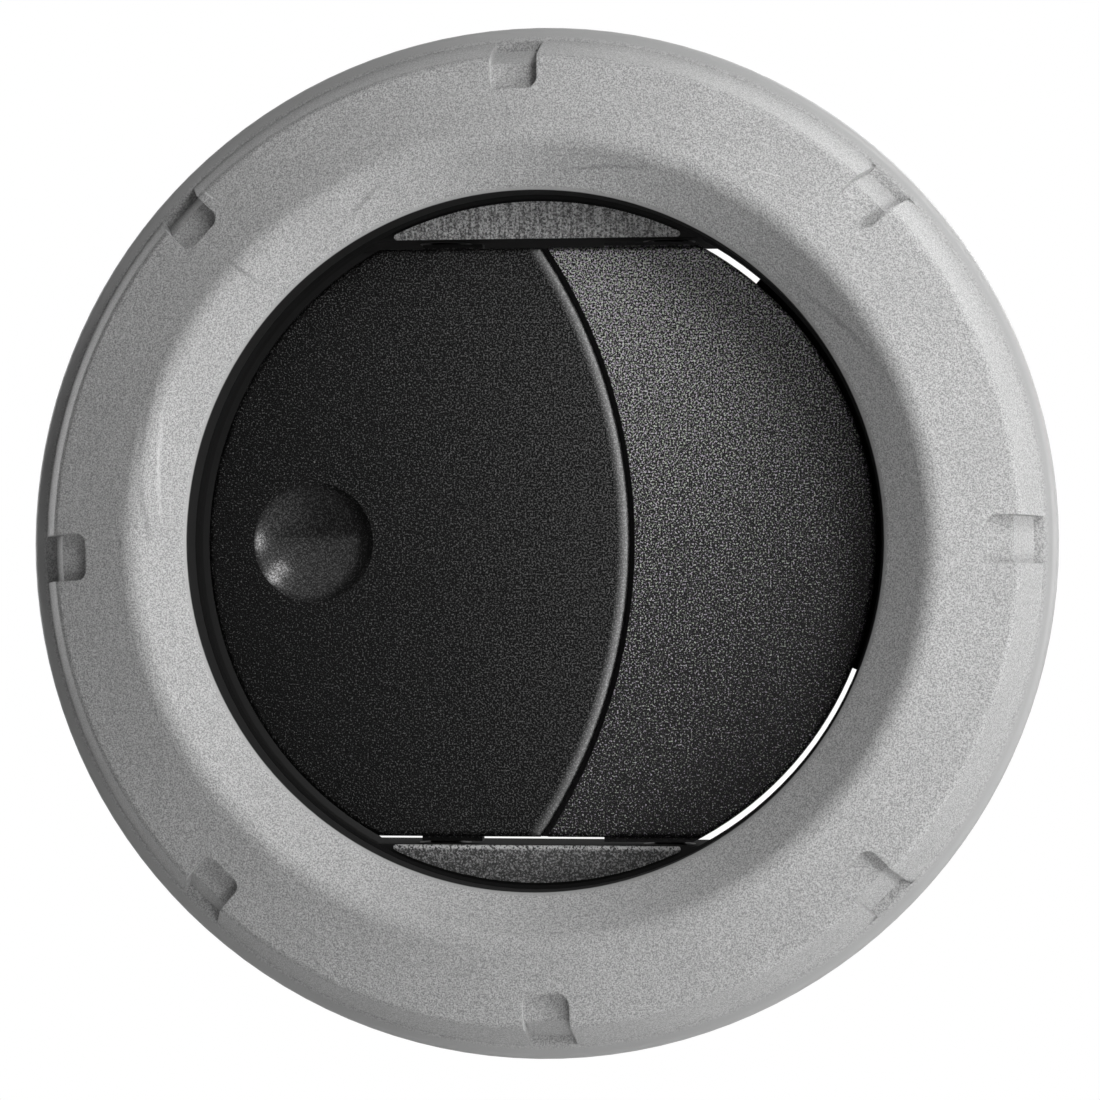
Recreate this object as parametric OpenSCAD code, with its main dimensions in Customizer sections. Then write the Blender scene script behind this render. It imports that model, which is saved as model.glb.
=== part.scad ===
// Round dashboard air vent with a turning rotor and two linked flaps.
// Every piece is drawn seen from the cabin: x to the right, y up, z out of the dashboard.
// The last step stands the vent upright, so that it faces along -Y with +Z up.
// The origin lies on the vent's axis, in the plane where the bezel's rim meets the dashboard.

/* [Bezel] */
// Height of the bezel's crown above the dashboard
crown_h = 10; // [9:0.5:13]
// Width of the bevel between the mouth and the crown
bevel_w = 4.7; // [4:0.1:5.4]
// How far the mouth stands outside the rotor's opening
lip_reveal = 0.3; // [0.1:0.1:0.6]
// Depth of the lip below the crown
lip_drop = 3.2; // [2.8:0.1:3.6]
// Height of the lip's upright edge
lip_edge = 3.6; // [3:0.1:4.2]
// Width of the slope between the shoulder and the rim
slope_w = 3.6; // [3:0.1:4.4]
// Depth of the shoulder below the crown
shoulder_drop = 2.1; // [1.5:0.1:3]
// Width of the plain band along the rim
rim_band = 1.4; // [1:0.1:2]
// Height of the plain band along the rim
rim_h = 2.2; // [1.6:0.1:3]
// Wall of the bezel's shell
bezel_wall = 1.9; // [1.6:0.1:2.2]
// Rounding of the crown between the bevel and the face
crown_round = 2.5; // [1:0.1:4]
// Rounding of the lip's front edge
lip_round = 0.5; // [0.3:0.1:0.8]
// Rounding of the bezel's outer edges
bezel_round = 0.9; // [0.4:0.1:1.2]

/* [Finger pockets] */
// Number of pockets round the rim
pocket_count = 8; // [4:1:12]
// Width of one pocket
pocket_w = 4.5; // [3.5:0.1:6]
// How far a pocket reaches in from the shoulder
pocket_reach = 3.3; // [2.5:0.1:4]
// Depth of a pocket's floor below the face
pocket_depth = 0.9; // [0.5:0.1:1]
// Rounding of a pocket's inner corners
pocket_round = 1; // [0.4:0.1:1.6]
// Turn of the pockets on the left, so that the bezel fits the housing one way round
key_turn = 2; // [0:0.5:4]

/* [Bezel latches] */
// Width of one latch hook
hook_w = 4; // [3:0.1:5]
// Thickness of one latch hook
hook_t = 1.2; // [1:0.1:1.5]
// How far the hook's nose reaches under the flange
hook_nose = 0.9; // [0.5:0.1:1]
// Distance between the barrel and a latch hook
hook_gap = 1.2; // [1:0.1:1.6]
// Free space round a latch hook in its slot
latch_gap = 0.25; // [0.15:0.05:0.4]

/* [Housing] */
// Wall of the barrel
barrel_wall = 2; // [1.6:0.1:2.2]
// Length of the barrel behind the dashboard's surface
barrel_l = 18; // [17:0.5:24]
// Thickness of the housing's flange
flange_t = 2.4; // [2:0.1:3]
// Width of the flange outside the latch slots
flange_edge = 1.25; // [1:0.05:1.6]
// Free space between the flange's edge and the bezel
flange_gap = 0.5; // [0.4:0.05:0.8]

/* [Duct collar] */
// How far the spigot that the duct slides over is set in from the barrel
spigot_step = 1.8; // [1.4:0.1:2.2]
// Length of the spigot behind the collar's shoulder
spigot_l = 17; // [12:0.5:30]
// Wall of the spigot and the collar
collar_wall = 1.8; // [1.5:0.1:2.2]
// How far the collar laps over the barrel
collar_lap = 6; // [5:0.5:7]
// Free space between the collar and the barrel
collar_gap = 0.1; // [0.05:0.05:0.2]
// Width of one catch that holds the collar
catch_w = 8; // [6:0.5:10]

/* [Seals] */
// Height of the foam ring on the spigot
foam_h = 3; // [2:0.5:5]
// Thickness of the foam ring on the spigot
foam_t = 3.2; // [2:0.1:3.6]
// Height of the friction ring behind the rotor
friction_h = 2; // [1.2:0.1:2.4]

/* [Dashboard clips] */
// Width of one spring clip
clip_w = 8; // [6:0.5:10]
// Thickness of the clip's spring steel
clip_t = 0.6; // [0.4:0.1:0.8]
// Depth of a clip's top behind the dashboard's surface
clip_depth = 2.8; // [2.5:0.1:4]
// How far a clip's spring leaf stands out
clip_reach = 3.2; // [2:0.1:4]
// Angle of the first clip, seen from the cabin
clip_angle = 45; // [40:1:50]

/* [Rotor] */
// Free space between the flaps' round edge and the rotor
flap_edge_gap = 0.55; // [0.4:0.05:1]
// Width of the rotor's face between its opening and its skirt
face_ring_w = 4.7; // [4.4:0.1:5.5]
// Free space between the rotor's face and the bezel's lip
lip_play = 0.4; // [0.3:0.05:0.6]
// Thickness of the rotor's face
rotor_face_t = 1.6; // [1.2:0.1:2]
// Depth of the collar round the face ring's opening
ring_depth = 1.8; // [1.6:0.1:1.9]
// Wall of the rotor's skirt
skirt_wall = 1.2; // [1:0.05:1.25]
// Free space between the rotor's skirt and the barrel
skirt_gap = 0.3; // [0.2:0.05:0.4]
// Free space between the rotor's bearing bands and the barrel
band_gap = 0.08; // [0.05:0.01:0.1]
// Height of one bearing band
band_h = 1.6; // [1:0.1:2.5]
// Width of the rotor's face beside the flaps' straight edges
segment_w = 3.9; // [3.4:0.1:4.4]
// Height of the grained panel on that face
panel_h = 0.3; // [0.1:0.05:0.35]
// Distance from the panel's rim to the rotor's opening
panel_margin = 0.3; // [0.2:0.05:0.5]
// Length of the panel along the flaps
panel_l = 29; // [24:0.5:30]
// Lower end of the rib that the right flap closes on, as an angle seen from the cabin
stop_from = -22; // [-30:1:-10]
// Upper end of that rib
stop_to = 50; // [30:1:54]
// How far that rib reaches behind the flap's round edge
stop_reach = 0.5; // [0.3:0.1:0.8]
// Thickness of that rib
stop_t = 0.8; // [0.6:0.1:1.2]
// Thickness of the straight wall beside the flaps
cheek_wall = 1.4; // [1.2:0.05:1.45]
// Depth of the straight wall behind the dashboard's surface
cheek_depth = 9; // [8:0.5:12]

/* [Flaps] */
// Diameter of the round edge of the closed flaps
flap_d = 65.3; // [58:0.5:72]
// Thickness of the flaps
flap_t = 2; // [1.8:0.1:2.3]
// Depth of the closed flaps' face below the rotor's face
flap_sink = 1.6; // [1.4:0.1:1.8]
// Free space between a flap and the straight wall
flap_side_gap = 0.7; // [0.5:0.05:0.9]
// Play of a flap's boss along its pivot
boss_play = 0.25; // [0.15:0.05:0.4]
// Width of the left flap's lugs, which fill the gap beside its pivot
left_lug_w = 5.9; // [5:0.1:7]
// Width of the right flap's lugs
right_lug_w = 10.3; // [8:0.1:11]
// Rounding of the flaps' corners
flap_corner = 1.4; // [0.8:0.1:2]
// Radius of the curved parting line between the flaps
parting_r = 51.5; // [48:0.5:58]
// Place of the parting line at the flaps' middle
parting_x = 8.8; // [7:0.1:9.6]
// Free space along the parting line
parting_gap = 0.6; // [0.5:0.1:0.8]
// How far the right flap's tongue reaches under the left flap
tongue_lap = 2.2; // [1.4:0.1:2.6]
// Rounding of the flaps' front edges
flap_round = 0.6; // [0.3:0.1:0.8]
// Diameter of the thumb dimple
dimple_d = 11.8; // [9:0.2:14]
// Depth of the thumb dimple
dimple_depth = 2.2; // [1.4:0.1:3]
// Distance from the flap's round edge to the middle of the thumb dimple
dimple_edge = 10.5; // [9.5:0.1:14]

/* [Flap pivots] */
// Distance of the left flap's pivot from the vent's axis
left_pivot = 9.5; // [8.5:0.1:10.5]
// Distance of the right flap's pivot from the vent's axis
right_pivot = 12.5; // [11.5:0.1:12.6]
// Depth of both pivots behind the closed flaps' face
pivot_depth = 3; // [2.8:0.1:3.4]
// Diameter of a pivot pin
pin_d = 3; // [2.4:0.1:3.2]
// Outside diameter of the tube along a flap's pivot
tube_d = 4.8; // [4.2:0.1:5]
// Clearance round a pin in its bush
pin_gap = 0.06; // [0.03:0.01:0.1]
// Wall of a pivot bush
bush_wall = 1; // [0.8:0.05:1.2]
// Height of a bush's flange
bush_flange = 0.3; // [0.2:0.05:0.35]

/* [Link] */
// Throw of the cranks
crank_throw = 3.6; // [3:0.1:3.7]
// Thickness of a crank
crank_t = 1.2; // [1:0.05:1.25]
// Diameter of a crank's pin
crank_pin_d = 2; // [1.6:0.1:2.2]
// Thickness of the link bar
link_t = 1; // [0.8:0.05:1.05]
// Width of the link bar
link_w = 3.2; // [2.8:0.1:3.4]
// Clearance round the right crank's pin, where the linkage is left open
open_gap = 0.25; // [0.15:0.05:0.3]

/* [Hidden] */

// Roundness of large turned forms, of pins, of small rounded corners and of the bezel's crown
turned_fn = 180;
$fn = turned_fn;
pin_fn = 48;
corner_fn = 24;
crown_fn = 120;
// Overlap that lets two shapes of one piece merge
merge = 0.4;
// Length by which a cut runs past what it cuts
past = 2;

silver = [0.66, 0.67, 0.68];
black = [0.13, 0.13, 0.14];
black_duct = [0.16, 0.16, 0.17];
foam = [0.22, 0.22, 0.23];
rubber = [0.08, 0.08, 0.08];
steel = [0.62, 0.63, 0.65];
white_nylon = [0.86, 0.84, 0.78];

// Radii from the flaps out to the rim, each a step outside the last
flap_r = flap_d / 2;
ring_r = flap_r + flap_edge_gap;
mouth_r = ring_r + lip_reveal;
crown_r = mouth_r + bevel_w;
skirt_in = ring_r + face_ring_w;
skirt_out = skirt_in + skirt_wall;
barrel_in = skirt_out + skirt_gap;
barrel_out = barrel_in + barrel_wall;
band_r = barrel_in - band_gap;
hook_r = barrel_out + hook_gap;
flange_r = hook_r + hook_t + hook_nose + latch_gap + flange_edge;
rim_r = flange_r + flange_gap + bezel_wall + rim_band;
shoulder_r = rim_r - slope_w;
// The shell stays open behind the face up to this radius
hollow_r = hook_r - latch_gap;

// Heights of the bezel's edges and of its underside
lip_w = crown_h - lip_drop;
lip_under = lip_w - lip_edge;
shoulder_w = crown_h - shoulder_drop;
face_slope = shoulder_drop / (shoulder_r - crown_r);
// Height of the bevel at a distance outside the mouth
function bevel_line(x) = lip_w + x * lip_drop / bevel_w;
function face_under(r) = crown_h - (r - crown_r) * face_slope - bezel_wall;

// The collar laps over the barrel's end and steps in to the spigot
collar_in = barrel_out + collar_gap;
collar_out = collar_in + collar_wall;
collar_top = collar_lap - barrel_l;
spigot_r = barrel_out - spigot_step;
spigot_in = spigot_r - collar_wall;
shoulder_top = -barrel_l;
shoulder_under = shoulder_top - collar_wall;
spigot_end = shoulder_under - spigot_l;
// A catch's length, and its distance behind the collar's front edge
catch_l = 2.4;
catch_drop = 1.4;
// The foam ring sits on a raised seat, clear of the duct
seal_seat_r = spigot_r + 0.4;

// A clip reaches from its top down to the collar
clip_gap = 0.6;
clip_low = collar_top + clip_gap;
clip_l = -clip_depth - clip_low;

// The rotor turns behind the lip and in front of the friction ring
rotor_h = lip_under - lip_play;
// The collar round the opening
ring_wall = 1.2;
ring_low = rotor_h - ring_depth;
rotor_play = 0.3;
skirt_end = shoulder_top + friction_h + rotor_play;
cheek_y = ring_r - segment_w;
cheek_out = cheek_y + cheek_wall;

flap_y = cheek_y - flap_side_gap;
flap_h = rotor_h - flap_sink;
pivot_w = flap_h - pivot_depth;
flap_back = flap_h - flap_t;
// The bosses and lugs end short of the straight walls; the lugs' middles lie inside the pivots
boss_end = cheek_y - boss_play;
lug_shift = 1;
// Free space between the closed right flap and the rib behind it
stop_gap = 0.3;
stop_w = flap_back - stop_gap;
dimple_x = flap_r - dimple_edge;
dimple_r = (pow(dimple_d / 2, 2) + pow(dimple_depth, 2)) / (2 * dimple_depth);
dimple_w = flap_h + dimple_r - dimple_depth;
parting_cx = parting_x - parting_r;
// The lap joint: the left flap's lip in front, the right flap's tongue behind it
lip_t = flap_t * 0.55;
lap_gap = 0.3;
tongue_t = flap_t - lip_t - lap_gap;
lap_end = parting_r - tongue_lap - 1;
// Stiffening ribs end short of the round edge
rib_t = 1.2;
rib_h = 1.2;
rib_pitch = flap_y * 0.55;
rib_margin = 3;
rib_reach = sqrt(pow(flap_r, 2) - pow(rib_pitch, 2)) - rib_margin;
tongue_end = parting_r - tongue_lap;

pin_r = pin_d / 2;
bush_in = pin_r + pin_gap;
bush_out = bush_in + bush_wall;
// Free space between a bush and its seat in the rotor
bush_seat_gap = 0.05;
bush_flange_r = bush_out + 0.6;
bush_top = cheek_out + bush_flange;
// Free space between parts stacked along a pivot
stack_gap = 0.15;
crank_y = bush_top + stack_gap;
link_y = crank_y + crank_t + stack_gap;
crank_pin_r = crank_pin_d / 2;
// The cranks point back and to the left while the flaps are closed
crank_closed = -135;
crank_dx = crank_throw * cos(crank_closed);
crank_dw = crank_throw * sin(crank_closed);
// Flat on the pin's end that keeps a crank from slipping
flat_depth = 0.4;

pocket_in = shoulder_r - pocket_reach;
pocket_out = rim_r - rim_band + merge;
pocket_step = 360 / pocket_count;

// Stands the vent upright, facing along -Y
module in_dash() rotate([90, 0, 0]) children();

// Repeats a shape at every pocket: those on the left are turned a little
module at_pockets() {
    for (i = [0 : pocket_count - 1]) {
        angle = i * pocket_step;
        rotate([0, 0, angle > 80 && angle < 280 ? angle + key_turn : angle]) children();
    }
}

// Repeats a shape round the vent's axis
module around(count, first = 0) {
    for (i = [0 : count - 1])
        rotate([0, 0, first + i * 360 / count]) children();
}

// Places a shape on an upright axis through x, at height w above the dashboard
module upright(x, w, y = 0) translate([x, y, w]) rotate([-90, 0, 0]) children();

// Tube or ring from one height to another
module ring(r_out, r_in, low, high) {
    rotate_extrude() translate([r_in, low]) square([r_out - r_in, high - low]);
}

// Rounds the outward corners of a flat outline
module rounded(r, fn = corner_fn) offset(r = r, $fn = fn) offset(delta = -r) children();

// Turned outline of the bezel, filled down to the dashboard
module bezel_outline() {
    intersection() {
        rounded(bezel_round, crown_fn) polygon([
            [mouth_r - past, -past],
            [mouth_r - past, bevel_line(-past)],
            [crown_r, crown_h],
            [shoulder_r, shoulder_w],
            [rim_r - rim_band, rim_h],
            [rim_r, rim_h - 0.3],
            [rim_r, -past]
        ]);
        rounded(lip_round) polygon([
            [mouth_r, -past],
            [mouth_r, lip_w],
            [crown_r + past, bevel_line(bevel_w + past)],
            [rim_r + past, bevel_line(bevel_w + past)],
            [rim_r + past, -past]
        ]);
        rounded(crown_round, crown_fn) polygon([
            [mouth_r - 4 * past, -4 * past],
            [mouth_r - 4 * past, bevel_line(-4 * past)],
            [crown_r, crown_h],
            [rim_r + 4 * past, crown_h - (rim_r + 4 * past - crown_r) * face_slope],
            [rim_r + 4 * past, -4 * past]
        ]);
        square([2 * rim_r, 2 * crown_h]);
    }
}

// Hollow behind the bezel's face
module bezel_hollow() {
    offset(delta = -bezel_wall) bezel_outline();
    translate([0, -past]) square([rim_r - rim_band - bezel_wall, bezel_wall + past + merge / 4]);
    translate([0, -past]) square([hollow_r, lip_under + past]);
}

// One pocket: its floor follows the face over the shoulder and down the slope
module pocket_cut() below_face(pocket_depth) {
    translate([pocket_in, -pocket_w / 2, rim_h])
        linear_extrude(crown_h) pocket_outline(pocket_out - pocket_in);
}

// Keeps what lies less than a given depth below the bezel's face
module below_face(depth) difference() {
    children();
    rotate_extrude() offset(delta = -depth) bezel_outline();
}

// Pocket seen from the front: round corners at the inner end
module pocket_outline(l) {
    rounded(pocket_round) square([l + 2 * pocket_round, pocket_w]);
}

// One latch hook behind the face, with its nose under the flange
module latch_hook() {
    foot = 0.3;
    nose_h = 0.9;
    translate([0, hook_w / 2, 0]) rotate([90, 0, 0]) linear_extrude(hook_w) polygon([
        [hook_r, foot],
        [hook_r, face_under(hook_r) + merge / 2],
        [hook_r + hook_t, face_under(hook_r + hook_t) + merge / 2],
        [hook_r + hook_t, foot + nose_h],
        [hook_r + hook_t + hook_nose, foot + nose_h],
        [hook_r + hook_t, foot]
    ]);
}

module bezel_ring() in_dash() color(silver) {
    difference() {
        rotate_extrude() difference() {
            bezel_outline();
            bezel_hollow();
        }
        at_pockets() pocket_cut();
    }
    at_pockets() latch_hook();
}

// Slot for one latch hook, wider behind so that the nose stays above the dashboard
module latch_slot() {
    w = hook_w + 2 * latch_gap;
    ledge = 1.35;
    translate([hook_r - latch_gap, -w / 2, -past])
        cube([hook_t + 2 * latch_gap, w, flange_t + 2 * past]);
    translate([hook_r - latch_gap, -w / 2, -past])
        cube([hook_t + hook_nose + 2 * latch_gap, w, ledge + past]);
}

// Two upright guides and a stop that hold one spring clip on the barrel
module clip_seat() {
    guide_t = 1.4;
    guide_h = 2;
    guide_gap = 0.3;
    seat_top = 0.2 - clip_depth;
    for (side = [0, 1]) mirror([0, side, 0])
        translate([barrel_out - merge, clip_w / 2 + guide_gap, seat_top - clip_l])
            cube([guide_h + merge, guide_t, clip_l]);
}

module housing() in_dash() color(black_duct) {
    difference() {
        union() {
            ring(barrel_out, barrel_in, -barrel_l, rotor_h);
            ring(flange_r, barrel_in, 0, flange_t);
            around(4, clip_angle) clip_seat();
            around(4) collar_catch();
        }
        at_pockets() latch_slot();
    }
}

// One ramped catch on the barrel, which snaps into the collar's window
module collar_catch() {
    catch_h = 1.5;
    top = collar_top - catch_drop;
    translate([0, catch_w / 2, 0]) rotate([90, 0, 0]) linear_extrude(catch_w) polygon([
        [barrel_out - merge, top],
        [barrel_out + catch_h, top],
        [barrel_out + 0.2, top - catch_l],
        [barrel_out - merge, top - catch_l]
    ]);
}

// Window in the collar for one catch
module catch_window() {
    gap = 0.25;
    top = collar_top - catch_drop + gap;
    window_h = catch_l + 2 * gap;
    translate([barrel_out - past, -catch_w / 2 - gap, top - window_h])
        cube([collar_wall + 2 * past, catch_w + 2 * gap, window_h]);
}

module duct_collar() in_dash() color(black_duct) {
    difference() {
        union() {
            ring(collar_out, collar_in, shoulder_under, collar_top);
            ring(collar_out, spigot_in, shoulder_under, shoulder_top);
            spigot();
        }
        around(4) catch_window();
    }
}

// Spigot with a thin lead-in edge at its end
module spigot() {
    lead = 0.8;
    rotate_extrude() polygon([
        [spigot_in, shoulder_under + merge],
        [seal_seat_r, shoulder_under + merge],
        [seal_seat_r, shoulder_under - foam_h],
        [spigot_r, shoulder_under - foam_h],
        [spigot_r, spigot_end + 2 * lead],
        [spigot_r - lead, spigot_end],
        [spigot_in, spigot_end]
    ]);
}

module duct_seal() in_dash() color(foam) {
    rotate_extrude() translate([seal_seat_r + 0.05, shoulder_under - foam_h])
        rounded(0.5) square([foam_t, foam_h]);
}

module rotor_friction_ring() in_dash() color(rubber) {
    rotate_extrude() translate([skirt_in, shoulder_top])
        rounded(0.3) square([barrel_in - 0.2 - skirt_in, friction_h]);
}

// Spring clip bent from one strip: back leg, fold and sprung leaf
module dash_clip(angle) in_dash() color(steel) {
    top = -clip_depth;
    low = clip_low;
    back = barrel_out + 0.05;
    fold = back + clip_t + 0.5;
    tip = back + clip_reach;
    rotate([0, 0, angle]) translate([0, clip_w / 2, 0]) rotate([90, 0, 0])
        linear_extrude(clip_w) polygon([
            [back, top],
            [back, low + clip_t],
            [back + clip_t, low],
            [fold + clip_t, low],
            [tip + clip_t, low + clip_l * 0.55],
            [fold + clip_t, top - 0.6],
            [fold, top - 0.6],
            [tip, low + clip_l * 0.55],
            [fold, low + clip_t],
            [back + clip_t, low + clip_t],
            [back + clip_t, top]
        ]);
}

module clip_upper_right() dash_clip(clip_angle);
module clip_upper_left() dash_clip(clip_angle + 90);
module clip_lower_left() dash_clip(clip_angle + 180);
module clip_lower_right() dash_clip(clip_angle + 270);

// Part of the disc beyond the straight wall, above or below the flaps
module beyond(y, r, low, high) {
    for (side = [0, 180]) rotate([0, 0, side]) intersection() {
        translate([0, 0, low]) cylinder(r = r, h = high - low);
        translate([-r, y, low]) cube([2 * r, r, high - low]);
    }
}

module rotor_drum() in_dash() color(black) {
    difference() {
        union() {
            // Face ring, its collar and the two cheeks
            ring(skirt_out, ring_r, rotor_h - rotor_face_t, rotor_h);
            ring(ring_r + ring_wall, ring_r, ring_low, rotor_h);
            beyond(cheek_y, ring_r + merge, rotor_h - rotor_face_t, rotor_h - panel_h);
            segment_panels();
            flap_stop();
            // Skirt with two bearing bands
            ring(skirt_out, skirt_in, skirt_end, rotor_h);
            ring(band_r, skirt_in + merge, rotor_h - 1 - band_h, rotor_h - 1);
            ring(band_r, skirt_in + merge, skirt_end + 1, skirt_end + 1 + band_h);
            // Straight walls that carry the pivots
            intersection() {
                translate([0, 0, -cheek_depth])
                    cylinder(r = skirt_in + merge, h = cheek_depth + rotor_h - panel_h);
                straight_walls();
            }
        }
        for (x = [-left_pivot, right_pivot]) bush_seats(x);
    }
}

// Holes for an upper and a lower bush, with room for their flanges and for pushing them in
module bush_seats(x) {
    upright(x, pivot_w, -barrel_in)
        cylinder(r = bush_out + bush_seat_gap, h = 2 * barrel_in, $fn = pin_fn);
    for (side = [0, 1]) mirror([0, side, 0])
        upright(x, pivot_w, cheek_out)
            cylinder(r = bush_flange_r + bush_seat_gap, h = barrel_in, $fn = pin_fn);
}

// Raised grained panel on each segment of the rotor's face
module segment_panels() {
    for (side = [0, 180]) rotate([0, 0, side]) translate([0, 0, rotor_h - rotor_face_t])
        linear_extrude(rotor_face_t) rounded(panel_margin) intersection() {
            circle(r = ring_r - panel_margin, $fn = turned_fn);
            translate([-panel_l / 2, cheek_y]) square([panel_l, segment_w]);
        }
}

// Rib behind the right flap's round edge: the flap closes on it
module flap_stop() {
    // Its wall stands in the middle of the collar's
    wall_in = ring_r + 0.2;
    wall_out = ring_r + ring_wall - 0.2;
    rotate([0, 0, stop_from]) rotate_extrude(angle = stop_to - stop_from) polygon([
        [flap_r - stop_reach, stop_w - stop_t],
        [wall_out, stop_w - stop_t],
        [wall_out, ring_low + merge],
        [wall_in, ring_low + merge],
        [wall_in, stop_w],
        [flap_r - stop_reach, stop_w]
    ]);
}

module straight_walls() {
    for (side = [0, 180]) rotate([0, 0, side])
        translate([-barrel_in, cheek_y, -cheek_depth])
            cube([2 * barrel_in, cheek_wall, cheek_depth + rotor_h]);
}

// Disc with a rounded front edge
module rounded_disc(r, low, high) {
    rotate_extrude() difference() {
        translate([-r, low - flap_round]) rounded(flap_round) square([2 * r, high - low + flap_round]);
        translate([-2 * r, low - 4 * flap_round]) square([2 * r, high - low + 8 * flap_round]);
        translate([-past, low - 4 * flap_round]) square([2 * r, 4 * flap_round]);
    }
}

// Band between the straight walls, with rounded front edges
module flap_band(low, high) {
    translate([-flap_r, 0, 0]) rotate([90, 0, 90]) linear_extrude(2 * flap_r) difference() {
        translate([-flap_y, low - flap_round])
            rounded(flap_round) square([2 * flap_y, high - low + flap_round]);
        translate([-2 * flap_y, low - 4 * flap_round]) square([4 * flap_y, 4 * flap_round]);
    }
}

// Blank of both flaps
module flap_blank(low, high) intersection() {
    spare = 0.02;
    rounded_disc(flap_r, low, high);
    flap_band(low, high);
    translate([0, 0, low - past]) linear_extrude(high - low + 2 * past)
        rounded(flap_corner) intersection() {
            circle(r = flap_r + spare, $fn = turned_fn);
            square(2 * [flap_r + past, flap_y + spare], center = true);
        }
}

// Tube and pins along a flap's pivot; the upper pin runs on to its crank
module flap_axle(x) {
    tube_cut = 0.9;
    boss_step = 0.4;
    intersection() {
        upright(x, pivot_w, -flap_y) cylinder(d = tube_d, h = 2 * flap_y, $fn = pin_fn);
        translate([-flap_r, -flap_y, -barrel_l])
            cube([2 * flap_r, 2 * flap_y, barrel_l + flap_h - tube_cut * flap_round]);
    }
    upright(x, pivot_w, -boss_end) cylinder(d = tube_d - boss_step, h = 2 * boss_end, $fn = pin_fn);
    upright(x, pivot_w, -bush_top) cylinder(r = pin_r, h = 2 * bush_top, $fn = pin_fn);
    difference() {
        upright(x, pivot_w, 0) cylinder(r = pin_r, h = crank_y + crank_t, $fn = pin_fn);
        translate([x - pin_r, crank_y, pivot_w + pin_r - flat_depth]) cube([pin_d, crank_t + past, pin_r]);
    }
}

// Lugs that fill the gap between a flap and the straight walls
module flap_lugs(x, w) intersection() {
    translate([x - w / 2, -boss_end, flap_back]) cube([w, 2 * boss_end, flap_t - flap_round]);
    translate([0, 0, flap_back]) cylinder(r = flap_r, h = flap_t);
}

// Thin ribs that stiffen a flap's back
module flap_ribs(x_from, x_to) {
    for (y = [-rib_pitch, rib_pitch])
        translate([x_from, y - rib_t / 2, flap_back - rib_h])
            cube([x_to - x_from, rib_t, rib_h + merge]);
}

// Ball round the dimple's centre, with its poles away from the flap
module dimple_ball(r) translate([-dimple_x, 0, dimple_w]) rotate([90, 0, 0]) sphere(r = r, $fn = 72);

module left_flap() in_dash() color(black) {
    shell_t = 1.4;
    difference() {
        union() {
            intersection() {
                flap_blank(flap_back, flap_h);
                translate([parting_cx, 0, 0]) rounded_disc(parting_r, flap_back, flap_h);
            }
            flap_axle(-left_pivot);
            flap_lugs(lug_shift - left_pivot, left_lug_w);
            flap_ribs(-rib_reach, parting_cx + lap_end - rib_margin);
            intersection() {
                dimple_ball(dimple_r + shell_t);
                translate([-dimple_x, 0, flap_back - 3 * dimple_depth])
                    cylinder(d = dimple_d + 2, h = 3 * dimple_depth + merge);
            }
        }
        dimple_ball(dimple_r);
        difference() {
            translate([0, 0, flap_back - past]) cylinder(r = 2 * flap_r, h = flap_t - lip_t + past);
            translate([parting_cx, 0, flap_back - 2 * past]) cylinder(r = lap_end, h = flap_t + 4 * past);
        }
    }
}

module right_flap() in_dash() color(black) {
    clear = parting_r + parting_gap;
    difference() {
        union() {
            flap_blank(flap_back, flap_h);
            flap_axle(right_pivot);
            flap_lugs(right_pivot - lug_shift, right_lug_w);
            flap_ribs(right_pivot, rib_reach);
        }
        translate([parting_cx, 0, flap_back + tongue_t]) cylinder(r = clear, h = flap_t);
        translate([parting_cx, 0, flap_back - past]) cylinder(r = tongue_end, h = flap_t + past);
    }
}

// Sleeve with a flange, pushed into the straight wall from outside
module bush(x, up) in_dash() color(rubber) mirror([0, up ? 0 : 1, 0]) {
    difference() {
        union() {
            upright(x, pivot_w, cheek_y) cylinder(r = bush_out, h = cheek_wall + merge / 2, $fn = pin_fn);
            upright(x, pivot_w, cheek_out) cylinder(r = bush_flange_r, h = bush_flange, $fn = pin_fn);
        }
        upright(x, pivot_w, cheek_y - past) cylinder(r = bush_in, h = cheek_wall + 2 * past, $fn = pin_fn);
    }
}

module left_upper_bush() bush(-left_pivot, true);
module left_lower_bush() bush(-left_pivot, false);
module right_upper_bush() bush(right_pivot, true);
module right_lower_bush() bush(right_pivot, false);

// Crank keyed on a flap's upper pin, with its own pin for the link bar
module crank(x) in_dash() color(black) {
    hub_r = pin_r + 0.9;
    fit = 0.03;
    difference() {
        union() {
            upright(x, pivot_w, crank_y) linear_extrude(crank_t) hull() {
                circle(r = hub_r, $fn = pin_fn);
                translate([crank_dx, -crank_dw]) circle(r = crank_pin_r + 0.7, $fn = pin_fn);
            }
            upright(x + crank_dx, pivot_w + crank_dw, crank_y)
                cylinder(r = crank_pin_r, h = crank_t + 2 * stack_gap + link_t, $fn = pin_fn);
        }
        difference() {
            upright(x, pivot_w, crank_y - past)
                cylinder(r = pin_r + fit, h = crank_t + 2 * past, $fn = pin_fn);
            translate([x - pin_d, crank_y - 2 * past, pivot_w + pin_r + fit - flat_depth])
                cube([2 * pin_d, crank_t + 4 * past, pin_d]);
        }
    }
}

module left_crank() crank(-left_pivot);
module right_crank() crank(right_pivot);

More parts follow.
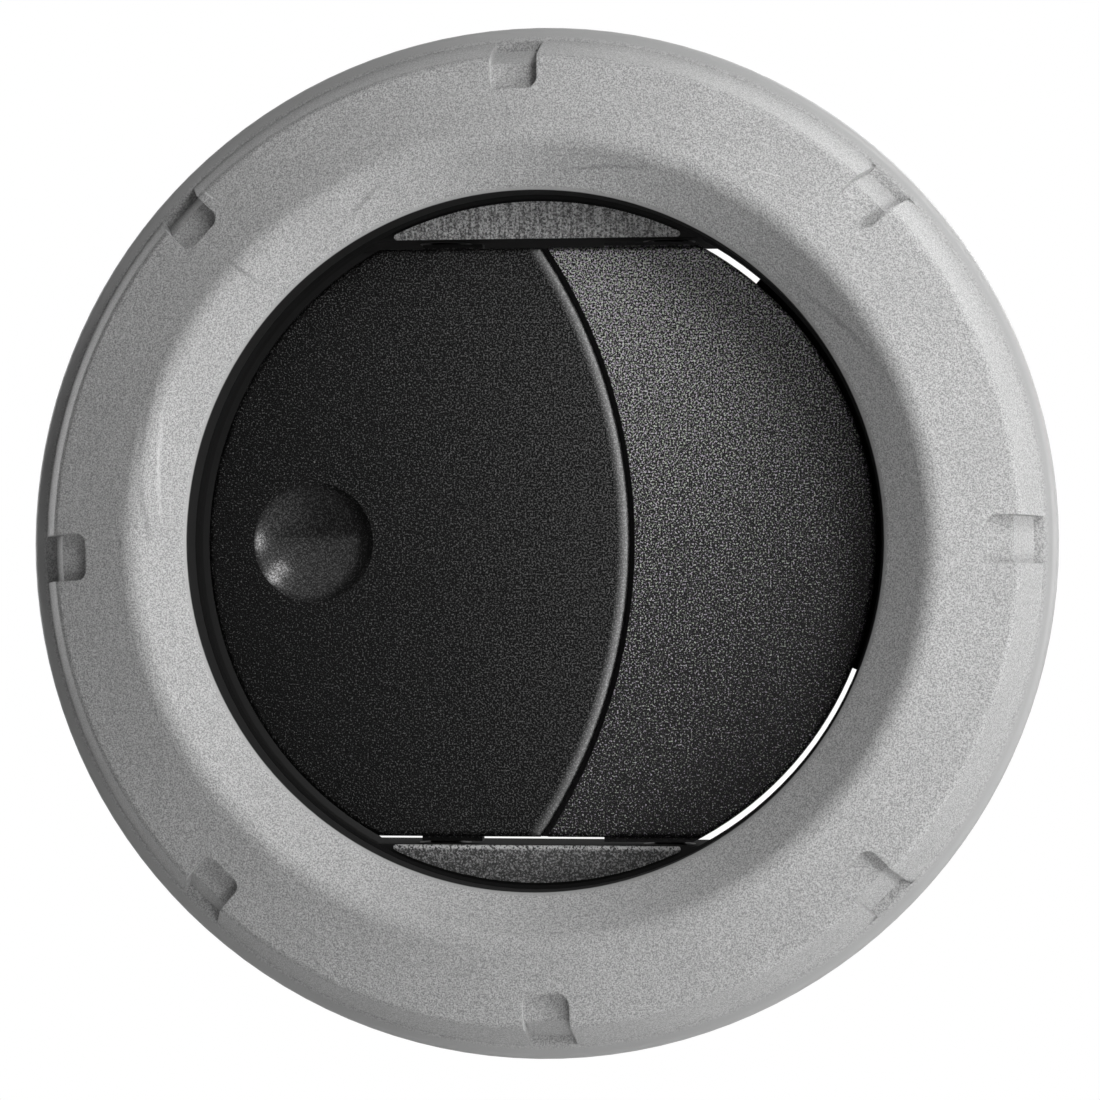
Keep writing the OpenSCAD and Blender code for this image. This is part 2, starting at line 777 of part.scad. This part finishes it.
module link_bar() in_dash() color(white_nylon) {
    x_left = -left_pivot + crank_dx;
    x_right = right_pivot + crank_dx;
    w = pivot_w + crank_dw;
    difference() {
        union() {
            for (x = [x_left, x_right])
                upright(x, w, link_y) cylinder(d = link_w, h = link_t, $fn = pin_fn);
            translate([x_left, link_y, w - link_w / 3]) cube([x_right - x_left, link_t, link_w * 2 / 3]);
        }
        upright(x_left, w, link_y - past)
            cylinder(r = crank_pin_r + pin_gap, h = link_t + 2 * past, $fn = pin_fn);
        upright(x_right, w, link_y - past)
            cylinder(r = crank_pin_r + open_gap, h = link_t + 2 * past, $fn = pin_fn);
    }
}

bezel_ring();
housing();
duct_collar();
duct_seal();
rotor_friction_ring();
clip_upper_right();
clip_upper_left();
clip_lower_left();
clip_lower_right();
rotor_drum();
left_flap();
right_flap();
left_upper_bush();
left_lower_bush();
right_upper_bush();
right_lower_bush();
left_crank();
right_crank();
link_bar();
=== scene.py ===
# %% [markdown]
# # A dashboard air vent
# The vent comes in as a finished CAD model: a silver bezel, a black rotor that turns inside it, and two flaps
# that swing on upright pivots. Its shapes and sizes are final, so this notebook gives it its looks only.
# Every piece keeps its place, because each one is a real part that a mechanism moves.

# %% Load the vent
import math

import bpy
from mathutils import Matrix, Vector


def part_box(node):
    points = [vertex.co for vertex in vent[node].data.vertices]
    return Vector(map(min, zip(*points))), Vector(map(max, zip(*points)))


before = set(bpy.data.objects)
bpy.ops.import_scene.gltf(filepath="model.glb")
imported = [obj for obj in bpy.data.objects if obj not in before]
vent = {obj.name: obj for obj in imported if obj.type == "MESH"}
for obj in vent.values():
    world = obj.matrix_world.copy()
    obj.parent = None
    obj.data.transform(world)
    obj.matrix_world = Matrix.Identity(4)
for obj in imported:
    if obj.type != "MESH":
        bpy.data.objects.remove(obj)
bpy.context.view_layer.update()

# %% [markdown]
# ## The axes of the vent
# The vent faces along -Y, as it does in a dashboard, with +X to the right and +Z up. Its axis is the Y axis.
# Sizes on the drawing are in millimetres and Blender works in metres, so one short helper turns one into the other.

# %% Sizes that the finishes need
def mm(length):
    """Millimetres of the drawing, as metres of the scene."""
    return length / 1000


rim_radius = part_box("bezel_ring")[1].x
face_front = -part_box("bezel_ring")[0].y
rotor_face = -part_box("rotor_drum")[0].y
mouth_radius = mm(33.5)
dimple_radius = mm(5.9)
dimple_middle = (mm(-22.15), mm(-0.2), 0)
parting_middle, parting_radius = mm(-42.7), mm(51.5)
print("rim radius", round(rim_radius * 1000, 2), "mm, crown height", round(face_front * 1000, 2), "mm")

# %% [markdown]
# ## Sockets that take sums
# A finish is a net of small sums: a mask times a colour, a height plus a fine grain. Blender adds one Math node for
# each, and writing them by hand hides the idea. The class below wraps a socket, so that `1 - mask * 0.5` in Python
# adds the nodes by itself. It only works on plain values: colours and vectors have nodes of their own.

# %% A socket with arithmetic
class Value:
    def __init__(self, finish, socket):
        self.finish = finish
        self.socket = socket

    def math(self, operation, *others, clamp=False):
        inputs = dict(enumerate((self, *others)))
        return self.finish.add("ShaderNodeMath", {"operation": operation, "use_clamp": clamp}, inputs)

    def __add__(self, other):
        return self.math("ADD", other)

    def __mul__(self, other):
        return self.math("MULTIPLY", other)

    def __sub__(self, other):
        return self.math("SUBTRACT", other)

    def __truediv__(self, other):
        return self.math("DIVIDE", other)

    def __rsub__(self, other):
        return self.finish.add("ShaderNodeMath", {"operation": "SUBTRACT"}, {0: other, 1: self})

    __radd__ = __add__
    __rmul__ = __mul__

    def ramp(self, low, high):
        """0 below low, 1 above high, with a soft step between. Swap the two for a falling step."""
        limits = {"From Min": low, "From Max": high}
        settings = {"interpolation_type": "SMOOTHSTEP"}
        return self.finish.add("ShaderNodeMapRange", settings, {"Value": self, **limits})

    def bell(self, middle, half_width):
        """1 at middle, falling to 0 at half_width on either side."""
        return (self - middle).math("ABSOLUTE").ramp(half_width, 0)


# %% [markdown]
# ## A finish and its nodes
# Each finish holds one material. One method adds any node: it sets the node's own settings first, then the values
# or links of its sockets. Places come from the object's own coordinates, so that the grain stays on a piece while
# the piece swings.

# %% The finish class
# A Mix node keeps sockets for numbers, vectors and colours side by side: these are the colour ones.
COLOUR_A, COLOUR_B, COLOUR_OUT = 6, 7, 2


class Finish:
    def __init__(self, name):
        self.material = bpy.data.materials.new(name)
        self.material.use_nodes = True
        self.nodes = self.material.node_tree.nodes
        self.links = self.material.node_tree.links
        self.shader = next(n for n in self.nodes if n.type == "BSDF_PRINCIPLED")

    def add(self, kind, settings=None, inputs=None, output=0):
        node = self.nodes.new(kind)
        for name, setting in (settings or {}).items():
            setattr(node, name, setting)
        for key, given in (inputs or {}).items():
            self.fill(node.inputs[key], given)
        return Value(self, node.outputs[output])

    def fill(self, socket, given):
        if isinstance(given, Value):
            self.links.new(given.socket, socket)
        else:
            socket.default_value = given

    def place(self):
        return self.add("ShaderNodeTexCoord", output="Object")

    def split(self, vector):
        """The x, y and z of a vector, each as a value."""
        first = self.add("ShaderNodeSeparateXYZ", inputs={0: vector})
        return [Value(self, socket) for socket in first.socket.node.outputs]

    def join(self, x, y, z=0.0):
        return self.add("ShaderNodeCombineXYZ", inputs={0: x, 1: y, 2: z})

    def vector(self, operation, first, second, third=None):
        inputs = {0: first, 1: second} if third is None else {0: first, 1: second, 2: third}
        output = "Value" if operation in ("DOT_PRODUCT", "DISTANCE") else "Vector"
        return self.add("ShaderNodeVectorMath", {"operation": operation}, inputs, output)

    def polar(self):
        """Distance from the vent's axis, angle round it in radians, and height in front of the dashboard."""
        x, y, z = self.split(self.place())
        return (x * x + z * z).math("SQRT"), z.math("ARCTAN2", x), 0 - y

    def noise(self, size_mm, detail=2.0, roughness=0.5, place=None):
        """Cloudy noise from 0 to 1, whose patches are about size_mm across."""
        inputs = {"Vector": place or self.place(), "Scale": 1 / mm(size_mm), "Detail": detail, "Roughness": roughness}
        return self.add("ShaderNodeTexNoise", inputs=inputs)

    def cells(self, size_mm, output="Distance"):
        """Small cells about size_mm across, for pits and specks."""
        inputs = {"Vector": self.place(), "Scale": 1 / mm(size_mm)}
        return self.add("ShaderNodeTexVoronoi", inputs=inputs, output=output)

    def mix(self, factor, first, second):
        """A colour between two colours."""
        colours = {"data_type": "RGBA", "blend_type": "MIX"}
        return self.add("ShaderNodeMix", colours, {0: factor, COLOUR_A: first, COLOUR_B: second}, COLOUR_OUT)

    def bump(self, height, depth_mm, strength=1.0, normal=None):
        inputs = {"Height": height, "Distance": mm(depth_mm), "Strength": strength}
        if normal is not None:
            inputs["Normal"] = normal
        return self.add("ShaderNodeBump", inputs=inputs)

    def facing_cabin(self):
        """1 on faces that look out of the dashboard, 0 on walls and backs."""
        normal = self.add("ShaderNodeTexCoord", output="Normal")
        x, y, z = self.split(normal)
        return (0 - y).ramp(0.45, 0.75)

    def soft_edges(self, radius_mm):
        """A normal that rounds sharp edges off, as moulding and paint do."""
        return self.add("ShaderNodeBevel", {"samples": 2}, {"Radius": mm(radius_mm)})

    def set(self, **given):
        for name, value in given.items():
            self.fill(self.shader.inputs[name.replace("_", " ")], value)

    def wear(self, *names):
        """Puts the finish on CAD pieces."""
        for name in names:
            slots = vent[name].data.materials
            slots.clear()
            slots.append(self.material)


def grey(level, tint=(1, 1, 1)):
    """A grey of that brightness, leaning a little to a tint."""
    return (level * tint[0], level * tint[1], level * tint[2], 1)


# %% [markdown]
# ## The camera
# The photograph was taken almost straight on, from a little to the right of the axis and a little below it, at
# about a third of a metre. That short distance matters: it makes the raised crown look a touch larger than the
# rim behind it. The camera aims at the middle of the vent, and a small shift puts it where the picture has it.

# %% Place the camera
IMAGE_SIDE = 1100
camera_side, camera_rise, camera_distance = 7.2, -1.4, 0.360
pixels_per_radian = 3700
picture_offset = (10.0, -8.0)


def place_camera():
    side, rise = math.radians(camera_side), math.radians(camera_rise)
    spot = camera_distance * Vector((math.sin(side) * math.cos(rise), -math.cos(side) * math.cos(rise), math.sin(rise)))
    lens = bpy.data.cameras.new("vent_camera")
    lens.sensor_width = 36
    lens.lens = lens.sensor_width * pixels_per_radian / IMAGE_SIDE
    lens.shift_x, lens.shift_y = (offset / IMAGE_SIDE for offset in picture_offset)
    lens.clip_start = 0.01
    camera = bpy.data.objects.new("vent_camera", lens)
    camera.location = spot
    camera.rotation_euler = (-spot).to_track_quat("-Z", "Y").to_euler()
    bpy.context.scene.collection.objects.link(camera)
    bpy.context.scene.camera = camera
    print("lens", round(lens.lens, 1), "mm, camera at", [round(v * 1000) for v in spot], "mm")


place_camera()

# %% [markdown]
# ## Soft studio light
# The brightest light in the photograph comes from the upper right and from in front: the left half of the bevel
# faces it and is pale, the right half turns away and is dark. Large area lamps give the same soft falloff, and the
# world adds an even fill. Only the camera and mirror-like reflections see the world as white.

# %% Lamps
def soft_lamp(name, place, size, power):
    light = bpy.data.lights.new(name, "AREA")
    light.shape = "DISK"
    light.size = size
    light.energy = power
    lamp = bpy.data.objects.new(name, light)
    lamp.location = place
    lamp.rotation_euler = (-Vector(place)).to_track_quat("-Z", "Y").to_euler()
    lamp.visible_camera = False
    bpy.context.scene.collection.objects.link(lamp)
    print(name, "at", place, "with", power, "W")


soft_lamp("key_lamp", (0.27, -0.36, 0.30), 0.16, 0.66)
soft_lamp("near_lamp", (0.12, -0.10, 0.165), 0.06, 0.16)
soft_lamp("side_lamp", (0.50, -0.20, 0.0), 0.2, 1.55)
soft_lamp("low_lamp", (0.26, -0.40, -0.33), 0.3, 0.7)
soft_lamp("back_lamp", (0.4, 0.7, 0.5), 0.6, 2.5)
soft_lamp("back_fill_lamp", (-0.7, 0.5, 0.1), 0.6, 1.5)


# %% The white surroundings
def white_surroundings(fill_level):
    world = bpy.data.worlds.new("white_surroundings")
    world.use_nodes = True
    nodes, links = world.node_tree.nodes, world.node_tree.links
    light_path = nodes.new("ShaderNodeLightPath")
    seen = nodes.new("ShaderNodeMath")
    seen.operation = "MAXIMUM"
    seen_through = nodes.new("ShaderNodeMath")
    seen_through.operation = "MAXIMUM"
    level = nodes.new("ShaderNodeMapRange")
    level.inputs["To Min"].default_value = fill_level
    level.inputs["To Max"].default_value = 1.0
    links.new(light_path.outputs["Is Camera Ray"], seen.inputs[0])
    links.new(light_path.outputs["Is Glossy Ray"], seen.inputs[1])
    links.new(seen.outputs[0], seen_through.inputs[0])
    links.new(light_path.outputs["Is Transmission Ray"], seen_through.inputs[1])
    links.new(seen_through.outputs[0], level.inputs["Value"])
    background = nodes["Background"]
    background.inputs["Color"].default_value = (1, 1, 1, 1)
    links.new(level.outputs[0], background.inputs["Strength"])
    bpy.context.scene.world = world
    print("fill from the surroundings", fill_level)


white_surroundings(0.03)
bpy.context.scene.view_settings.view_transform = "Standard"

# %% [markdown]
# ## Rubs and scratches
# The bezel has been handled: a few dark rubs curve along its bevel, and fine light scratches cross its face. Each
# is a line drawn on the unrolled ring, where the angle round the axis is one direction and the distance from the
# axis is the other. A straight line there is a gentle arc on the real ring. The distance of a point from the line
# then gives the mark, and a little noise makes its edge ragged.

# %% Lines on the unrolled ring
def unrolled(finish):
    """Place on the ring as (length round it, distance from the axis), with a slightly ragged edge."""
    radius, angle, height = finish.polar()
    ragged = (finish.noise(0.8, 2.0) - 0.5) * mm(0.5)
    return finish.join(angle * UNROLL_RADIUS + ragged, radius + ragged)


def mark(finish, place, start, end, width):
    """A mark from one (angle in degrees, radius in mm) to another, strongest in its middle."""
    first, last = (Vector((math.radians(a) * UNROLL_RADIUS, mm(r), 0)) for a, r in (start, end))
    run = last - first
    away = finish.vector("SUBTRACT", place, first[:])
    along = finish.vector("DOT_PRODUCT", away, (run / run.length_squared)[:]).math("ADD", 0, clamp=True)
    foot = finish.vector("MULTIPLY_ADD", finish.join(along, along, along), run[:], first[:])
    distance = finish.vector("DISTANCE", place, foot)
    return distance.ramp(mm(width), 0) * along.bell(0.5, 0.62)


def marks(finish, place, lines):
    """The strongest of several marks at each point."""
    total = mark(finish, place, *lines[0])
    for line in lines[1:]:
        total = total.math("MAXIMUM", mark(finish, place, *line))
    return total


UNROLL_RADIUS = mm(40)
DARK_RUBS = [
    ((137.5, 40.6), (136.0, 34.8), 0.35),
    ((22, 37.4), (47, 34.4), 0.40),
    ((70, 37.2), (88, 35.0), 0.35),
    ((111, 37.2), (121, 35.2), 0.35),
    ((155, 39.2), (171, 38.0), 0.55),
    ((168, 38.4), (184, 36.0), 0.45),
    ((194, 36.6), (205, 38.8), 0.45),
    ((234, 36.2), (251, 39.2), 0.50),
    ((262, 36.6), (269, 38.2), 0.35),
]
LIGHT_SCRATCHES = [
    ((133.5, 48.0), (132.5, 43.6), 0.16),
    ((196, 44.6), (203, 45.0), 0.16),
    ((160, 37.4), (178, 35.6), 0.30),
    ((300, 47.6), (302.5, 48.2), 0.30),
    ((54, 42.0), (58, 41.2), 0.14),
]
print("dark rubs", len(DARK_RUBS), "light scratches", len(LIGHT_SCRATCHES))

# %% [markdown]
# ## Silver paint
# The bezel is moulded with a fine spark-eroded grain and painted silver. The paint is matt, and each grain catches
# the light as a tiny bright or dark dot; the bump gives part of it, and the rest is painted into the colour as tiny
# highlights and shades. The band along the rim is smooth, so the grain fades out there. From the lip's front edge
# inwards, over its upright wall, the colour is painted near-black as painted shade. Two noises of different size make
# the grain, and the finer one also paints the dots into the colour. A Bevel node softens the sharp edges of the
# pockets.

# %% Bezel finish
def silver_paint():
    paint = Finish("silver_paint")
    radius, angle, height = paint.polar()
    inside_rim = radius.ramp(rim_radius - mm(0.7), rim_radius - mm(1.7))
    outside_lip = radius.ramp(mouth_radius + mm(0.15), mouth_radius + mm(0.5))
    grained = inside_rim * outside_lip
    # Painted shade: the lip's upright wall and everything further in are painted near-black.
    clear_of_lip_shade = radius.ramp(mouth_radius + mm(0.02), mouth_radius + mm(0.12))
    fine, coarse = paint.noise(0.15, 2.0, 0.7), paint.noise(0.45, 2.0)
    cloud = paint.noise(7.0, 2.0)
    place = unrolled(paint)
    rubs, scratches = marks(paint, place, DARK_RUBS), marks(paint, place, LIGHT_SCRATCHES)
    # Painted highlights and shade: the grain's light and dark dots, painted into the colour.
    painted_grain_dots = paint.mix(fine.ramp(0.34, 0.66), grey(0.27), grey(0.60))
    clouded = paint.mix(cloud.ramp(0.3, 0.7) * 0.12, painted_grain_dots, grey(0.30))
    smooth = paint.mix(grained, grey(0.40), clouded)
    rubbed = paint.mix(rubs * 0.45, smooth, grey(0.17))
    coated = paint.mix(clear_of_lip_shade, grey(0.008), paint.mix(scratches * 0.55, rubbed, grey(0.72)))
    relief = (fine * 0.5 + coarse) * grained - scratches * 0.6 + rubs * 0.2
    paint.set(
        Base_Color=coated,
        Roughness=0.85 - clear_of_lip_shade * 0.49 + grained * 0.16 + rubs * 0.12,
        Specular_IOR_Level=0.2,
        Normal=paint.bump(relief, 0.07, 0.8, paint.soft_edges(0.22)),
    )
    return paint


silver_paint().wear("bezel_ring")

# %% [markdown]
# ## Grained black plastic
# Rotor and flaps are black plastic with a grain like fine sand. The tops of the grain shine and its valleys don't,
# which is painted into the colour as bright specks, painted highlights on a near-black ground. A few specks of dust
# lie on it. The left flap is darker than the right one. Thumbs have polished its dimple, and a light band along its
# long curved edge is a painted highlight. On each flap the specks are painted denser towards one side, as painted
# light.

# %% Specks, dust and grain
def black_grain(name, dark, light, shine, tint=(1, 1, 1), painted_light_lean=(0, 0), polish_and_highlight=None):
    """Bright specks are painted highlights; they grow denser along lean, their change per metre right and up, as
    painted light.
    """
    plastic = Finish(name)
    x, y, z = plastic.split(plastic.place())
    fine, coarse = plastic.noise(0.17, 2.0, 0.7), plastic.noise(0.5, 2.0)
    tinted, plain = grey(light, tint), grey(light, tuple(2 - part for part in tint))
    # Painted highlights: the bright specks stand for grain tops that catch the light.
    painted_glint_colour = plastic.mix(plastic.noise(0.3, 0.0).ramp(0.4, 0.6), tinted, plain)
    # Painted light: the specks grow denser along lean, so the flap turns lighter towards one side.
    painted_glint_mask = (fine + x * painted_light_lean[0] + z * painted_light_lean[1]).ramp(0.50, 0.64)
    front = (0 - y).ramp(mm(-0.1), mm(0.5)) * z.math("ABSOLUTE").ramp(mm(28.8), mm(28.6))
    spots = plastic.cells(3.0)
    dust = spots.ramp(0.035, 0.015) * plastic.noise(9.0).ramp(0.55, 0.6) * front
    relief, roughness = (fine + coarse) * 0.6, 0.55
    if polish_and_highlight:
        dimple, edge_highlight = polish_and_highlight(plastic)
        front = front.math("MAXIMUM", dimple)
        grain = plastic.mix(dimple * 0.6, plastic.mix(painted_glint_mask * front, grey(dark, tint), painted_glint_colour), grey(dark))
        # Painted highlight: a light band along the left flap's long curved edge.
        grain = plastic.mix(edge_highlight * (painted_glint_mask * 0.4 + 0.5), grain, grey(0.40))
        relief = relief * (1 - dimple * 0.75)
        roughness = 0.55 - dimple * 0.2
        plastic.set(Coat_Weight=dimple * (fine.ramp(0.40, 0.60) * 0.8 + 0.2), Coat_Roughness=0.22)
    else:
        grain = plastic.mix(painted_glint_mask * front, grey(dark, tint), painted_glint_colour)
    plastic.set(
        Base_Color=plastic.mix(dust, grain, grey(0.55)),
        Roughness=roughness,
        Specular_IOR_Level=shine,
        Normal=plastic.bump(relief, 0.16, 1.0),
    )
    return plastic


def dimple_polish_and_edge_highlight(plastic):
    """On the left flap: one mask for the dimple that thumbs polish, one for a painted highlight along its long curved
    edge.
    """
    place = plastic.place()
    x, y, z = plastic.split(place)
    dimple = plastic.vector("DISTANCE", place, dimple_middle).ramp(dimple_radius + mm(0.3), dimple_radius - mm(0.5))
    arc = ((x - parting_middle) * (x - parting_middle) + z * z).math("SQRT")
    # The painted highlight is at half strength low down and full strength higher up.
    highlight_strength = z.ramp(mm(-34), mm(-12)) * 0.5 + 0.5
    return dimple, arc.ramp(parting_radius - mm(1.2), parting_radius - mm(0.2)) * plastic.facing_cabin() * highlight_strength


black_grain("left_flap_grain", 0.002, 0.12, 0.10, painted_light_lean=(2.0, 0.4), polish_and_highlight=dimple_polish_and_edge_highlight).wear("left_flap")
black_grain("right_flap_grain", 0.004, 0.58, 0.20, (1.03, 0.93, 1.10), painted_light_lean=(-1.0, 1.8)).wear("right_flap")

# %% [markdown]
# ## The rotor
# Only the front of the rotor is finished with care. Each of its two segments carries a grained panel whose bright
# specks are painted highlights, the ring round the opening is smooth, and the walls inside are dull and painted
# near-black as painted shade, so that no light plays behind the flaps. The top segment is painted lighter than the
# bottom one, partly a streaky film of dust and partly painted light where more light falls on it. Along the upper
# edge of the lower segment runs a row of bright dots, a painted highlight.

# %% Rotor finish
def rotor_plastic():
    plastic = Finish("rotor_plastic")
    radius, angle, height = plastic.polar()
    x, y, z = plastic.split(plastic.place())
    # Painted shade: walls inside the rotor that don't face the cabin are painted near-black.
    front = height.ramp(mm(1.6), mm(2.0)) * plastic.facing_cabin()
    panel = height.ramp(rotor_face - mm(0.2), rotor_face - mm(0.1)) * radius.ramp(mm(33.05), mm(32.95))
    fine, coarse = plastic.noise(0.17, 2.0, 0.7), plastic.noise(0.5, 2.0)
    # Painted highlights: the panels' bright specks stand for grain tops that catch the light.
    grained = plastic.mix(fine.ramp(0.46, 0.66), grey(0.060), grey(0.34))
    streaks = plastic.noise(0.35, 2.0, 0.5, plastic.join(x, y, z * 0.08))
    # The top segment is painted lighter: partly a streaky dust film, partly painted light where more light falls.
    film_and_painted_light = z.ramp(mm(28), mm(30)) * (streaks.ramp(0.4, 0.6) * 0.45 + 0.15)
    # Painted highlight: a row of bright dots along the upper edge of the lower segment.
    rim_highlight = z.bell(mm(-29.5), mm(0.35)) * fine.ramp(0.42, 0.50)
    grain_lit_on_top = plastic.mix(film_and_painted_light * fine.ramp(0.30, 0.60), grained, grey(0.62))
    face = plastic.mix(panel, grey(0.010), plastic.mix(rim_highlight, grain_lit_on_top, grey(0.6)))
    plastic.set(
        Base_Color=plastic.mix(front, grey(0.003), face),
        Roughness=0.95 - front * 0.45,
        Specular_IOR_Level=0.08,
        Normal=plastic.bump((fine + coarse) * 0.6 * (panel * 0.8 + 0.1), 0.16, 1.0),
    )
    return plastic


rotor_plastic().wear("rotor_drum")
black_grain("crank_grain", 0.008, 0.06, 0.2).wear("left_crank", "right_crank")

# %% [markdown]
# ## Hidden parts
# The barrel, the collar and the spigot disappear in the dashboard, so they are plain moulded black, with painted
# shade inside the duct: its inner walls are painted darker than its outside.
# The foam ring is open-celled, the bushes are soft, the clips are rolled spring steel and the link bar is nylon
# in its natural colour.

# %% Duct plastic, foam, rubber, steel and nylon
def duct_plastic():
    plastic = Finish("duct_plastic")
    radius, angle, height = plastic.polar()
    # Painted shade: inside the duct the plastic is painted darker than outside.
    outside = radius.ramp(mm(38.6), mm(39.2))
    flow = plastic.noise(9, 3.0)
    fine = plastic.noise(0.4, 2.0)
    moulded = plastic.mix(flow, grey(0.022), grey(0.034))
    plastic.set(
        Base_Color=plastic.mix(outside, grey(0.006), moulded),
        Roughness=0.95 - outside * (0.52 - fine * 0.12),
        Specular_IOR_Level=0.1,
        Normal=plastic.bump(fine, 0.02, 0.4),
    )
    return plastic


def seal_foam():
    foam = Finish("seal_foam")
    pores = foam.cells(0.8)
    foam.set(
        Base_Color=foam.mix(pores.ramp(0.1, 0.6), grey(0.015), grey(0.06)),
        Roughness=0.95,
        Normal=foam.bump(pores, 0.35, 0.9),
    )
    return foam


def bush_rubber():
    rubber = Finish("bush_rubber")
    rubber.set(Base_Color=rubber.mix(rubber.noise(1.5), grey(0.012), grey(0.022)), Roughness=0.7)
    return rubber


def spring_steel():
    steel = Finish("spring_steel")
    drawn = steel.noise(0.5, 3.0)
    steel.set(
        Base_Color=steel.mix(drawn, grey(0.40), grey(0.56)),
        Metallic=1.0,
        Roughness=drawn * 0.15 + 0.28,
    )
    return steel


def link_nylon():
    nylon = Finish("link_nylon")
    nylon.set(Base_Color=nylon.mix(nylon.noise(3), (0.70, 0.66, 0.58, 1), (0.78, 0.75, 0.68, 1)), Roughness=0.45)
    return nylon


duct_plastic().wear("housing", "duct_collar")
seal_foam().wear("duct_seal")
bushes = ["left_upper_bush", "left_lower_bush", "right_upper_bush", "right_lower_bush"]
bush_rubber().wear("rotor_friction_ring", *bushes)
spring_steel().wear("clip_upper_right", "clip_upper_left", "clip_lower_left", "clip_lower_right")
link_nylon().wear("link_bar")

# %% [markdown]
# ## The floor
# A pale floor lies well below the vent, which hangs in its dashboard. Near the vent it shows the soft shadow, and
# further out it fades into the white surroundings.

# %% Floor
def pale_floor():
    size, depth = 1.2, mm(-120)
    corners = [(-size, -size, depth), (size, -size, depth), (size, size, depth), (-size, size, depth)]
    mesh = bpy.data.meshes.new("pale_floor")
    mesh.from_pydata(corners, [], [(0, 1, 2, 3)])
    floor = bpy.data.objects.new("pale_floor", mesh)
    floor.visible_shadow = False
    bpy.context.scene.collection.objects.link(floor)
    ground = Finish("pale_floor")
    x, y, z = ground.split(ground.place())
    radius = (x * x + y * y).math("SQRT")
    light_path = ground.add("ShaderNodeLightPath", output="Is Camera Ray")
    fade = radius.ramp(0.15, 0.5) * 0.85 + 0.15
    ground.set(Base_Color=grey(0.8), Roughness=0.9)
    white = ground.add("ShaderNodeEmission", inputs={"Color": grey(1), "Strength": 1.0})
    blend = ground.add("ShaderNodeMixShader", inputs={0: fade * light_path, 2: white})
    ground.links.new(ground.shader.outputs[0], blend.socket.node.inputs[1])
    output = next(n for n in ground.nodes if n.type == "OUTPUT_MATERIAL")
    ground.links.new(blend.socket, output.inputs["Surface"])
    mesh.materials.append(ground.material)
    print("floor at", round(depth * 1000), "mm")


pale_floor()
